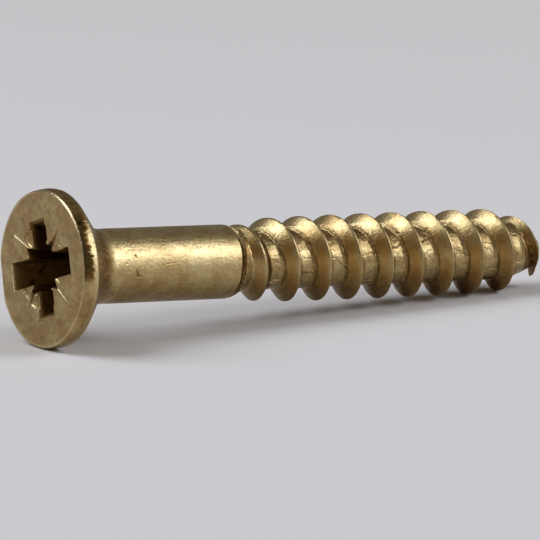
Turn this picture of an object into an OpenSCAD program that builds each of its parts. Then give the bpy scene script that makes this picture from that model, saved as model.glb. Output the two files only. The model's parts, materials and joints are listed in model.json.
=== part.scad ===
// Countersunk wood screw with a plain shank, a coarse thread and a type Z cross recess.
// Lengths are in millimetres and angles in degrees. The screw is drawn upright in its own
// frame, with the head's flat face at z = 0 and the point at z = length, and is then laid
// down as it rests on a table: on the rim of its head and on its lowest crest.

/* [Head] */
// Diameter of the head at its rim
head_d = 6.5; // [6:0.1:8]
// Height of the rim, from the flat face to the cone
head_rim_h = 0.66; // [0.4:0.02:0.9]
// How far the flat face's edge stands in from the rim's full diameter
head_edge = 0.05; // [0.02:0.01:0.15]
// Height over which the rim widens from that edge to its full diameter
head_edge_h = 0.26; // [0.05:0.01:0.35]
// Angle across the cone under the head
cone_angle = 97; // [84:1:110]
// Radius of the fillet between the cone and the shank
neck_fillet = 1.3; // [0.6:0.1:1.6]
// Depth of the flat that a knock has left on the rim
dent_depth = 0.12; // [0.04:0.02:0.2]
// Direction of that flat about the axis
dent_turn = 254; // [200:1:290]

/* [Recess] */
// Distance across two opposite wings of the recess at the flat face
recess_span = 4.2; // [3.8:0.1:4.8]
// Width of a wing
wing_w = 1.1; // [0.8:0.05:1.3]
// Depth of the recess floor below the flat face
recess_depth = 2.1; // [1.6:0.1:2.4]
// Angle across the ends of two opposite wings
wing_end_angle = 46; // [30:2:50]
// Further depth of the conical pit in the middle of the floor
pit_depth = 0.45; // [0.2:0.05:0.6]
// Diameter of the pit's mouth
pit_mouth_d = 1.5; // [1.2:0.05:1.8]
// Distance across two opposite corner notches
notch_span = 2.84; // [2.4:0.04:3.2]
// Distance across two opposite corner marks
mark_span = 4.7; // [4:0.1:5.4]
// Width of a mark where it meets the flat face
mark_w = 0.14; // [0.08:0.02:0.24]
// Direction of the recess about the axis
recess_turn = -18; // [-90:1:90]

/* [Shank] */
// Diameter of the plain shank
shank_d = 3.08; // [2.9:0.02:3.3]
// Length from the flat face to the end of the plain shank
shank_l = 8.85; // [6:0.05:12]
// Angle across the taper at the end of the shank
shank_end_angle = 42; // [30:2:90]

/* [Thread] */
// Diameter over the full crests
thread_d = 3.6; // [3.4:0.02:3.9]
// Diameter over the first crest, which is rolled a little lower
first_crest_d = 3.44; // [3.2:0.02:3.8]
// Diameter of the core between the crests
core_d = 2.42; // [2.2:0.02:2.6]
// Distance from one crest to the next
pitch = 1.562; // [1.45:0.002:1.8]
// Slope of the flank on the head's side, measured from square to the axis
head_flank_angle = 42; // [30:1:46]
// Slope of the flank on the point's side, measured from square to the axis
point_flank_angle = 38; // [30:1:46]
// Width of the crest
crest_w = 0.06; // [0.02:0.01:0.1]
// Length from the end of the plain shank to where the thread rises
thread_gap = 0.25; // [0:0.05:0.5]
// Turns in which the thread rises to its first full crest
rise_turns = 1.6; // [1:0.1:2]
// Turns in which the first crest grows to the full crests
grow_turns = 5.5; // [3:0.5:7]
// Direction about the axis in which the thread rises
thread_turn = -99; // [-180:1:180]

/* [Point] */
// Length of the whole screw
length = 25; // [22:0.5:50]
// Angle across the conical point
point_angle = 40; // [30:1:50]
// Diameter of the point's blunt end, before its edge is rounded
point_d = 1.12; // [0.9:0.02:1.4]
// Radius that rounds the edge of the blunt end
point_round = 0.35; // [0.2:0.05:0.4]
// Length left bare between the end of the thread and the end of the screw
bare_point = 0.45; // [0.4:0.01:0.8]
// Length by which the last half turn is drawn out
run_out = 0.18; // [0:0.02:0.3]
// Diameter over the last crest, where the thread breaks off
last_crest_d = 2.28; // [2.2:0.02:2.6]
// Angle across the cone that the last crests follow
crest_fall_angle = 35; // [24:1:40]

/* [Hidden] */

brass = [0.72, 0.56, 0.30];
fine = 96;            // facets of the round parts in a preview
col_per_turn = 48;    // columns of the thread's skin in one turn
over = 0.2;           // how far a cutter stands proud of what it cuts
pit_tip_d = 0.1;      // the pit's blunt tip, so that it ends in a face

head_r = head_d / 2;
shank_r = shank_d / 2;
core_r = core_d / 2;
thread_r = thread_d / 2;

// The cone, its fillet and the shank, along one half section.
cone_half = cone_angle / 2;
cone_meets_shank = head_rim_h + (head_r - shank_r) / tan(cone_half);
fillet_reach = neck_fillet * tan(cone_half / 2);
fillet_end = cone_meets_shank + fillet_reach;
fillet_steps = 10;

// The shank's tapered end runs on until it is well inside the core.
shank_tip_r = core_r - over;
shank_end = shank_l + (shank_r - shank_tip_r) / tan(shank_end_angle / 2);

// The thread's path: a number of turns counts from where the thread rises.
thread_from = shank_l + thread_gap;
thread_to = length - bare_point;
turns = (thread_to - run_out - thread_from) / pitch;
turns_buried = 1;     // turns of bare core that start inside the shank
early_rise = rise_turns / 5;    // turns by which the rise starts before turn 0
head_flank_w = (thread_r - core_r) * tan(head_flank_angle);
point_flank_w = (thread_r - core_r) * tan(point_flank_angle);
cone_from = length - (core_d - point_d) / 2 / tan(point_angle / 2);
settle = 0.55;        // last stretch, in which the skin closes towards the point's end

// The lying screw: the slope of the line under the head's rim and the lowest crests, which
// point down half a turn from where the thread's direction is level with the top.
down_turns = [for (t = [(180 - thread_turn) / 360 : turns]) if (t > rise_turns) t];
rest_slope = min([for (t = down_turns) (head_r - crest_r(t)) / (crest_z(t) - head_rim_h)]);
rest_tilt = atan(rest_slope);
rest_height = head_r * cos(rest_tilt) + head_rim_h * sin(rest_tilt);
rest_middle = (length * cos(rest_tilt) - (head_r - head_edge) * sin(rest_tilt)) / 2;

// Height of the crest along the axis, and its radius, after t turns.
function drawn_share(t) = min(max(1 - 2 * (turns - t), 0), 1);
function crest_z(t) = thread_from + pitch * t + run_out * (1 - pow(1 - drawn_share(t), 2));
function body_r(t) = (first_crest_d + (thread_d - first_crest_d)
    * sin(90 * min(max(t, 0) / grow_turns, 1))) / 2;
function fall_r(z) = last_crest_d / 2 + (thread_to - z) * tan(crest_fall_angle / 2);
function crest_r(t) = min(body_r(t), fall_r(crest_z(t)));

// Share of the thread's height that stands after t turns: it rises in an arc and breaks off.
function rise_share(t) = 1 - pow(1 - min(max(t + early_rise, 0) / rise_turns, 1), 2);
function share(t) = t > turns ? 0 : rise_share(t);

// Radius of the core at height z: straight, then the cone of the point with a round edge.
function cone_r(z) = core_r - max(z - cone_from, 0) * tan(point_angle / 2);
function edge_drop(z) = let (s = max(z - (length - point_round), 0) / point_round)
    point_round * (1 - sqrt(1 - s * s));
function core_at(z) = cone_r(z) - edge_drop(z);

// Heights past the thread's end are drawn together towards the end of the screw.
function settled(z) = let (from = length - settle)
    z < from ? z : from + settle * (1 - exp(-(z - from) / settle));

// One turn's profile, as height from the crest's middle and whether it is on the crest.
profile = [
    [-head_flank_w - crest_w / 2, false],
    [-crest_w / 2, true],
    [crest_w / 2, true],
    [point_flank_w + crest_w / 2, false]
];
rows = len(profile);
last_col = ceil((turns_buried + turns) * col_per_turn) + 2;

function col_turns(i) = i / col_per_turn - turns_buried;
function skin_point(i, j) = let (
    t = col_turns(i),
    z = settled(crest_z(t) + profile[j][0]),
    base = core_at(z),
    r = profile[j][1] ? base + max(crest_r(t) - base, 0) * share(t) : base,
    a = thread_turn + 360 * t
) [r * cos(a), r * sin(a), z];

// The skin is one strip wound like the thread: the top row of a turn is the bottom row of
// the next, so row number `rows` of column i is row 0 of the column one turn further on.
function skin_index(i, j) = j == rows ? skin_index(i + col_per_turn, 0)
    : i <= last_col ? i * rows + j
    : (last_col + 1) * rows + i - last_col - 1;

module threaded_core() {
    strip = [for (i = [0 : last_col], j = [0 : rows - 1]) skin_point(i, j)];
    lip = [for (i = [last_col + 1 : last_col + col_per_turn]) skin_point(i, 0)];
    start_centre = [0, 0, crest_z(-turns_buried) - pitch];
    end_centre = [0, 0, length];
    start_index = len(strip) + len(lip);
    end_index = start_index + 1;
    walls = [for (i = [0 : last_col - 1], j = [0 : rows - 1], half = [0, 1])
        half == 0
            ? [skin_index(i, j), skin_index(i, j + 1), skin_index(i + 1, j + 1)]
            : [skin_index(i, j), skin_index(i + 1, j + 1), skin_index(i + 1, j)]];
    start_cap = concat(
        [for (i = [0 : col_per_turn - 1]) [skin_index(i, 0), skin_index(i + 1, 0), start_index]],
        [for (j = [0 : rows - 1]) [skin_index(0, j + 1), skin_index(0, j), start_index]]);
    end_cap = concat(
        [for (i = [last_col : last_col + col_per_turn - 1])
            [skin_index(i + 1, 0), skin_index(i, 0), end_index]],
        [for (j = [0 : rows - 1])
            [skin_index(last_col, j), skin_index(last_col, j + 1), end_index]]);
    polyhedron(points = concat(strip, lip, [start_centre, end_centre]),
        faces = concat(walls, start_cap, end_cap), convexity = 8);
}

module head_and_shank() {
    arc = [for (i = [0 : fillet_steps]) let (a = cone_half * (1 - i / fillet_steps))
        [shank_r + neck_fillet * (1 - cos(a)), fillet_end - neck_fillet * sin(a)]];
    rotate_extrude($fn = fine)
        polygon(concat(
            [[0, 0], [head_r - head_edge, 0], [head_r, head_edge_h], [head_r, head_rim_h]],
            arc,
            [[shank_r, shank_l], [shank_tip_r, shank_end], [0, shank_end]]));
}

// The cross with its corner notches, inside the square pyramid that the wings' ends lie on.
module recess() {
    lean = tan(wing_end_angle / 2);
    notch_r = notch_span / 2;
    intersection() {
        rotate([0, 0, 45]) translate([0, 0, -over])
            cylinder(h = recess_depth + over, r1 = sqrt(2) * (recess_span / 2 + over * lean),
                r2 = sqrt(2) * (recess_span / 2 - recess_depth * lean), $fn = 4);
        union() {
            for (a = [0, 90]) rotate([0, 0, a])
                translate([-recess_span, -wing_w / 2, -2 * over])
                    cube([2 * recess_span, wing_w, recess_depth + 4 * over]);
            translate([0, 0, -2 * over])
                linear_extrude(recess_depth + 4 * over)
                    polygon([for (i = [0 : 7]) (i % 2 == 0 ? pit_mouth_d / 2 : notch_r)
                        * [cos(45 * i), sin(45 * i)]]);
        }
    }
    translate([0, 0, recess_depth - over])
        cylinder(h = pit_depth + over, d1 = pit_mouth_d, d2 = pit_tip_d, $fn = fine);
}

// Four fine grooves in the flat face, which run out from the notches and mark a type Z cross.
module marks() {
    side = mark_w / sqrt(2);
    for (a = [45 : 90 : 315]) rotate([0, 0, a])
        translate([wing_w / 2, 0, 0]) rotate([45, 0, 0])
            translate([0, -side / 2, -side / 2])
                cube([mark_span / 2 - wing_w / 2, side, side]);
}

// What the knock took off the rim: everything beyond a flat square to its direction.
module dent() {
    rotate([0, 0, dent_turn])
        translate([head_r - dent_depth, -head_r, -over])
            cube([head_r, head_d, head_rim_h + 2 * dent_depth + over]);
}

module wood_screw() {
    color(brass)
        translate([-rest_middle, 0, rest_height])
            rotate([0, 90 + rest_tilt, 0]) rotate([0, 0, 180]) {
                difference() {
                    head_and_shank();
                    rotate([0, 0, recess_turn]) {
                        recess();
                        marks();
                    }
                    dent();
                }
                threaded_core();
            }
}

wood_screw();
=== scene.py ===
"""A countersunk brass wood screw with a type Z cross recess, lying on a pale floor.

The screw is one closed skin in millimetres of its own frame: z runs along the axis from the
head's flat face to the point, and the skin is placed into the row frame by the mounts of the
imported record.
"""
import json
import logging
import math
from dataclasses import dataclass, field
from enum import Enum

import bpy
import numpy as np
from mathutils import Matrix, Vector


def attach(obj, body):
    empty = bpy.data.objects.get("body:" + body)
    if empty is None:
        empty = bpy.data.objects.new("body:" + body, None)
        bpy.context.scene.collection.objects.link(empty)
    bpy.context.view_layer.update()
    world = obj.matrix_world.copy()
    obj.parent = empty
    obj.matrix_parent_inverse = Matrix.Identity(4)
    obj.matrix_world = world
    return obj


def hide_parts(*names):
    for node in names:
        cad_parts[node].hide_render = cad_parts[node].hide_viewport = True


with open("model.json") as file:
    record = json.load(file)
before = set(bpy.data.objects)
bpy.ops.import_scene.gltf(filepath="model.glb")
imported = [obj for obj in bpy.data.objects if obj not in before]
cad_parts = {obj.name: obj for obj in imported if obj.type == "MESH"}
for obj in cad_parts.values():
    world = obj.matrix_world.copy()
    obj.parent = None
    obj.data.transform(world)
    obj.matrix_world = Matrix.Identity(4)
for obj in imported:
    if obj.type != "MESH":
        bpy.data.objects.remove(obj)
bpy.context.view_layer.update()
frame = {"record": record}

LOG = logging.getLogger("wood_screw")
MM = 0.001
# Edges between faces that turn by more than this many degrees stay hard.
SHARP_ANGLE = 48.0
# Diameter of the shank, in millimetres, which the head and the shank share.
SHANK_D = 3.08
# Half the width of the finest groove that the face's columns can show, in millimetres.
FINEST_HALF = 0.05


# ----------------------------------------------------------------------------------------
# Measures shared by every part of the skin
# ----------------------------------------------------------------------------------------


@dataclass(frozen=True)
class Axes:
    """The screw's own frame inside the row frame.

    Attributes:
        origin: The middle of the head's flat face, in metres.
        up: The direction from which angles about the axis are counted.
        side: The direction a quarter turn on from `up`.
        along: The direction from the head to the point.
    """

    origin: np.ndarray
    up: np.ndarray
    side: np.ndarray
    along: np.ndarray

    @classmethod
    def from_record(cls, record: dict) -> "Axes":
        """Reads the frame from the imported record.

        Args:
            record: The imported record, whose recess mount looks out of the head's face.

        Returns:
            The screw's own frame.
        """
        mount = next(m for m in record["mounts"] if m["name"] == "drive_recess")
        along = -np.array(mount["axis"], float)
        along /= np.linalg.norm(along)
        side = np.array((0.0, -1.0, 0.0))
        return cls(np.array(mount["pos_m"], float), np.cross(side, along), side, along)

    def place(self, points: np.ndarray) -> np.ndarray:
        """Carries points from the screw's frame into the row frame.

        Args:
            points: Points in millimetres, with x towards `up` and z along the axis.

        Returns:
            The same points in metres of the row frame.
        """
        return self.origin + MM * (points @ np.array((self.up, self.side, self.along)))


def smoothstep(low: float, high: float, value: np.ndarray) -> np.ndarray:
    """Rises from 0 at `low` to 1 at `high` along the cubic 3x^2 - 2x^3.

    Args:
        low: Where the rise begins.
        high: Where the rise ends; it may be the smaller one.
        value: The values to map.

    Returns:
        The share of the rise at each value.
    """
    share = np.clip((value - low) / (high - low), 0.0, 1.0)
    return share * share * (3.0 - 2.0 * share)


def band(value: np.ndarray, start: float, full: float, ebb: float, end: float) -> np.ndarray:
    """A smooth rise from `start` to `full`, times a smooth fall from `ebb` to `end`."""
    return smoothstep(start, full, value) * smoothstep(end, ebb, value)


def bell(value: np.ndarray, width: float) -> np.ndarray:
    """The bell curve exp(-(value / width)^2)."""
    return np.exp(-((value / width) ** 2))


def facing(turn: np.ndarray, degrees: float) -> np.ndarray:
    """Cosine of the angle from a direction about the axis: 1 towards it, -1 away from it."""
    return np.cos(turn - math.radians(degrees))


def around(radius: np.ndarray | float, turn: np.ndarray, z: np.ndarray) -> np.ndarray:
    """The points (radius cos turn, radius sin turn, z), one for each of their values."""
    return np.stack(np.broadcast_arrays(radius * np.cos(turn), radius * np.sin(turn), z), axis=-1)


class Grain:
    """Smooth seeded noise in space: sloped values on a unit lattice, blended between."""

    def __init__(self, seed: int) -> None:
        """Draws the lattice's shuffled order, its slopes and its levels.

        Args:
            seed: Seed of the draws.
        """
        rng = np.random.default_rng(seed)
        self.order = rng.permutation(256)
        slopes = rng.normal(size=(256, 3))
        self.slopes = slopes / np.linalg.norm(slopes, axis=1, keepdims=True)
        self.levels = rng.uniform(-1.0, 1.0, size=256)

    def slot(self, cell: np.ndarray) -> np.ndarray:
        """Gives each lattice cell its entry in the shuffled order.

        Args:
            cell: Whole-number lattice points, last axis three long.

        Returns:
            One entry from 0 to 255 for each lattice point.
        """
        first = self.order[cell[..., 0] & 255]
        second = self.order[(first + cell[..., 1]) & 255]
        return self.order[(second + cell[..., 2]) & 255]

    def at(self, points: np.ndarray, size: float) -> np.ndarray:
        """Noise whose features are about `size` across.

        The value is the blend of the eight surrounding lattice slopes, each times the
        distance from its corner, with the blend 6x^5 - 15x^4 + 10x^3 on each axis.

        Args:
            points: Points in space, last axis three long.
            size: Distance between lattice points.

        Returns:
            Values of about -1 to 1, one for each point.
        """
        scaled = np.asarray(points, float) / size
        cell = np.floor(scaled).astype(np.int64)
        part = scaled - cell
        fade = part**3 * (part * (part * 6.0 - 15.0) + 10.0)
        total = np.zeros(part.shape[:-1])
        for corner in np.ndindex(2, 2, 2):
            step = np.array(corner)
            slope = self.slopes[self.slot(cell + step)]
            weight = np.where(step == 1, fade, 1.0 - fade).prod(axis=-1)
            total += weight * (slope * (part - step)).sum(axis=-1)
        return 1.6 * total

    def layered(self, points: np.ndarray, size: float, layers: int = 3) -> np.ndarray:
        """Sums noise of `layers` sizes, each half as large and half as strong as the last.

        Args:
            points: Points in space, last axis three long.
            size: Size of the largest features.
            layers: Number of sizes.

        Returns:
            Values of about -1 to 1, one for each point.
        """
        scales = 0.5 ** np.arange(layers)
        return sum(k * self.at(points, size * k) for k in scales) / scales.sum()

    def steps(self, count: np.ndarray) -> np.ndarray:
        """One level from -1 to 1 for each whole number in `count`."""
        return self.levels[self.order[np.floor(count).astype(np.int64) & 255]]


# ----------------------------------------------------------------------------------------
# The skin: rings of points, and the faces knitted between them
# ----------------------------------------------------------------------------------------


@dataclass
class Skin:
    """Collects rings of points and the triangles between them.

    Rings run from the middle of the recess over the face and along the shank to the point,
    and their columns turn from `up` towards `side`, so every face looks outwards.

    The surface marks run from about 0 to 1: `grime` is dirt and painted shade, and goes black past 1,
    `torn` is rough metal, `polish` is smooth metal, with a painted sheen in the wear colour past 0.5,
    `face` is the head's stamped face, and `amber` is a painted amber reflection. `wind_a` and
    `wind_b` are places along and across the thread's root.

    Attributes:
        points: Blocks of points in millimetres of the screw's frame.
        marks: Blocks of surface marks, by name, in step with the points.
        faces: Blocks of triangles as rows of three point numbers.
        count: Number of points so far.
    """

    MARKS = ("grime", "torn", "polish", "face", "amber", "wind_a", "wind_b")

    points: list[np.ndarray] = field(default_factory=list)
    marks: dict[str, list[np.ndarray]] = field(default_factory=dict)
    faces: list[np.ndarray] = field(default_factory=list)
    count: int = 0

    def add(self, points: np.ndarray, **marks: np.ndarray | float) -> np.ndarray:
        """Adds a block of points with its surface marks.

        Args:
            points: The points, last axis three long.
            marks: Surface marks of the block's shape; those left out are 0.

        Returns:
            The number of each point, in the block's shape.
        """
        shape = points.shape[:-1]
        self.points.append(points.reshape(-1, 3))
        for name in self.MARKS:
            values = np.broadcast_to(marks.get(name, 0.0), shape)
            self.marks.setdefault(name, []).append(values.reshape(-1))
        numbers = self.count + np.arange(int(np.prod(shape))).reshape(shape)
        self.count += numbers.size
        return numbers

    def quads(self, corners: np.ndarray) -> None:
        """Adds four-cornered faces as two triangles each.

        Args:
            corners: Point numbers, last axis four long, in order round each face.
        """
        halves = np.concatenate((corners[..., (0, 1, 2)], corners[..., (0, 2, 3)]))
        self.triangles(halves)

    def triangles(self, corners: np.ndarray) -> None:
        """Adds triangles, without those that use a point twice.

        Args:
            corners: Point numbers, last axis three long.
        """
        rows = corners.reshape(-1, 3)
        whole = (rows != np.roll(rows, 1, axis=1)).all(axis=1)
        self.faces.append(rows[whole])

    def knit(self, rings: np.ndarray) -> None:
        """Joins each ring to the next, and each ring's last column to its first.

        Args:
            rings: Point numbers, one row for each ring.
        """
        here, there = rings[:-1], rings[1:]
        nxt = (np.roll(here, -1, axis=1), np.roll(there, -1, axis=1))
        self.quads(np.stack((here, nxt[0], nxt[1], there), axis=-1))

    def halve(self, wide: np.ndarray, narrow: np.ndarray) -> None:
        """Joins a ring to a next one that has half its columns, three triangles to a column.

        Args:
            wide: Point numbers of the first ring.
            narrow: Point numbers of the next ring.
        """
        even, odd, nxt = wide[::2], wide[1::2], np.roll(wide[::2], -1)
        far = np.roll(narrow, -1)
        self.triangles(np.stack((even, odd, narrow), axis=-1))
        self.triangles(np.stack((odd, far, narrow), axis=-1))
        self.triangles(np.stack((odd, nxt, far), axis=-1))

    def close(self, ring: np.ndarray, pole: int, ends: bool) -> None:
        """Closes a ring with a fan to one point.

        Args:
            ring: Point numbers of the ring.
            pole: Number of the point in the middle.
            ends: Whether the skin ends there, or starts there.
        """
        nxt, middle = np.roll(ring, -1), np.full_like(ring, pole)
        fan = (ring, nxt, middle) if ends else (nxt, ring, middle)
        self.triangles(np.stack(fan, axis=-1))

    def build(self, name: str, axes: Axes) -> bpy.types.Object:
        """Makes the Blender object: smooth, with hard edges where the skin turns sharply.

        Args:
            name: Name of the object.
            axes: The screw's frame in the row frame.

        Returns:
            The object, at the origin, with its place in its mesh.
        """
        points = np.concatenate(self.points)
        faces = np.concatenate(self.faces)
        mesh = bpy.data.meshes.new(name)
        mesh.from_pydata(axes.place(points).tolist(), [], faces.tolist())
        mesh.validate()
        mesh.update()
        place = mesh.attributes.new("place", "FLOAT_VECTOR", "POINT")
        place.data.foreach_set("vector", points.astype(np.float32).ravel())
        for mark, blocks in self.marks.items():
            layer = mesh.attributes.new(mark, "FLOAT", "POINT")
            layer.data.foreach_set("value", np.concatenate(blocks).astype(np.float32))
        mesh.shade_smooth()
        mesh.set_sharp_from_angle(angle=math.radians(SHARP_ANGLE))
        piece = bpy.data.objects.new(name, mesh)
        bpy.context.scene.collection.objects.link(piece)
        LOG.info("%s: %d points, %d triangles", name, len(points), len(faces))
        return piece


# ----------------------------------------------------------------------------------------
# Head: recess, flat face, rim, cone and fillet
# ----------------------------------------------------------------------------------------


# The rim's edge as shares of its slant: how far in each ring lies, and how far down.
EDGE_SHARES = ((0.78, 0.07), (0.54, 0.16), (0.42, 0.25), (0.34, 0.4), (0.23, 0.6), (0.12, 0.8),
               (0.0, 1.0))


class Wing(Enum):
    """The recess's four wings, by their place as one looks at the head."""

    RIGHT = 0
    DOWN = 1
    LEFT = 2
    UP = 3


@dataclass(frozen=True)
class WingEnd:
    """How far one wing reaches at the flat face, and the flare that its end has there.

    Attributes:
        reach: Distance from the middle of the recess to the wing's end.
        flare: How much of that reach is a bevel, at the flat face.
        clean: Depth down to which its walls keep their own colour.
        dirt_and_shade: How dark they are painted below, as painted shade; past 1 they are black.
    """

    reach: float
    flare: float = 0.1
    clean: float = 0.06
    dirt_and_shade: float = 1.1


@dataclass(frozen=True)
class Pinch:
    """A triangle beside a wing, where the punch has pulled the flat face in.

    The triangle's base lies on the wing's side, and its tip stands off it.

    Attributes:
        wing: The wing it lies beside.
        hand: 1 for the side a quarter turn on, -1 for the other one.
        near: Distance along the wing at which the base starts.
        far: Distance along the wing at which the base ends.
        tip: Distance along the wing of the triangle's tip.
        off: Distance of the tip from the wing's side.
        depth: How deep the base is pulled in.
        lip: How far the lip round it stands proud.
    """

    wing: Wing
    hand: int
    near: float
    far: float
    tip: float
    off: float
    depth: float = 0.07
    lip: float = 0.012

    def shape(self, x: np.ndarray, y: np.ndarray, half_w: float, ragged: np.ndarray
              ) -> tuple[np.ndarray, np.ndarray, np.ndarray]:
        """How the face is pulled in, and the lip that stands proud round it.

        The depth falls in a straight line from the triangle's base to its tip, and the lip is
        a bell along the triangle's edge.

        Args:
            x: Places in the recess's own first direction.
            y: Places in its second direction.
            half_w: Half the wing's width.
            ragged: How far the triangle's edge strays.

        Returns:
            The depth of the triangle, the height of its lip, and how torn the metal is.
        """
        quarter = self.wing.value * (math.pi / 2)
        run = x * math.cos(quarter) + y * math.sin(quarter)
        off = self.hand * (y * math.cos(quarter) - x * math.sin(quarter)) - half_w
        low = (run - self.near) - (self.tip - self.near) * off / self.off
        high = (self.far - run) + (self.tip - self.far) * off / self.off
        inside = np.minimum(np.minimum(low, high), off + 0.3) * 0.8 + ragged
        held = smoothstep(-0.02, 0.05, inside) * (off > -0.2)
        slope = np.clip(1.0 - off / self.off, 0.15, 1.0)
        on_face = off > -0.05
        lip = self.lip * bell(inside + self.lip, 0.03) * on_face * (off < 1.1 * self.off)
        return self.depth * held * slope, lip, held * on_face


@dataclass(frozen=True)
class Stroke:
    """A straight groove or burr, on the head's face or on the shank.

    Its ends are places in the recess's own directions on the face, and pairs of an angle
    about the axis and a height on the shank.

    Attributes:
        start: Where it starts.
        end: Where it ends.
        width: Its width at the start.
        taper: Share of the width that is left at the end.
        depth: Its depth; a burr stands proud, with a depth below 0.
        wear_and_highlight: How much of the wear colour it carries, as a painted highlight.
        grime: How dark it is painted.
        grime: How dirty it is.
    """

    start: tuple[float, float]
    end: tuple[float, float]
    width: float = 0.08
    taper: float = 0.6
    depth: float = -0.03
    wear_and_highlight: float = 1.0
    grime: float = 0.0

    @property
    def length(self) -> float:
        """Distance from its start to its end."""
        return math.dist(self.start, self.end)

    def along(self) -> tuple[float, float]:
        """Its own direction, one long."""
        return ((self.end[0] - self.start[0]) / self.length,
                (self.end[1] - self.start[1]) / self.length)

    def sunk(self, x: np.ndarray, y: np.ndarray) -> np.ndarray:
        """How deep it cuts the face's mesh, which carries half of its depth.

        It is a V over the distance from its line, no narrower than the columns can show,
        and it fades at both ends.

        Args:
            x: Places in the recess's own first direction.
            y: Places in its second direction.

        Returns:
            Its depth at each place, below 0 for a burr.
        """
        (ax, ay), (dx, dy) = self.along(), (x - self.start[0], y - self.start[1])
        run = (dx * ax + dy * ay) / self.length
        off = np.abs(dy * ax - dx * ay)
        stands = band(run, -0.1, 0.03, 0.9, 1.05)
        half = np.maximum(self.width / 2 * (1.0 - (1.0 - self.taper) * run), FINEST_HALF)
        return 0.5 * self.depth * stands * np.clip(1.0 - off / half, 0.0, 1.0)


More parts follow.
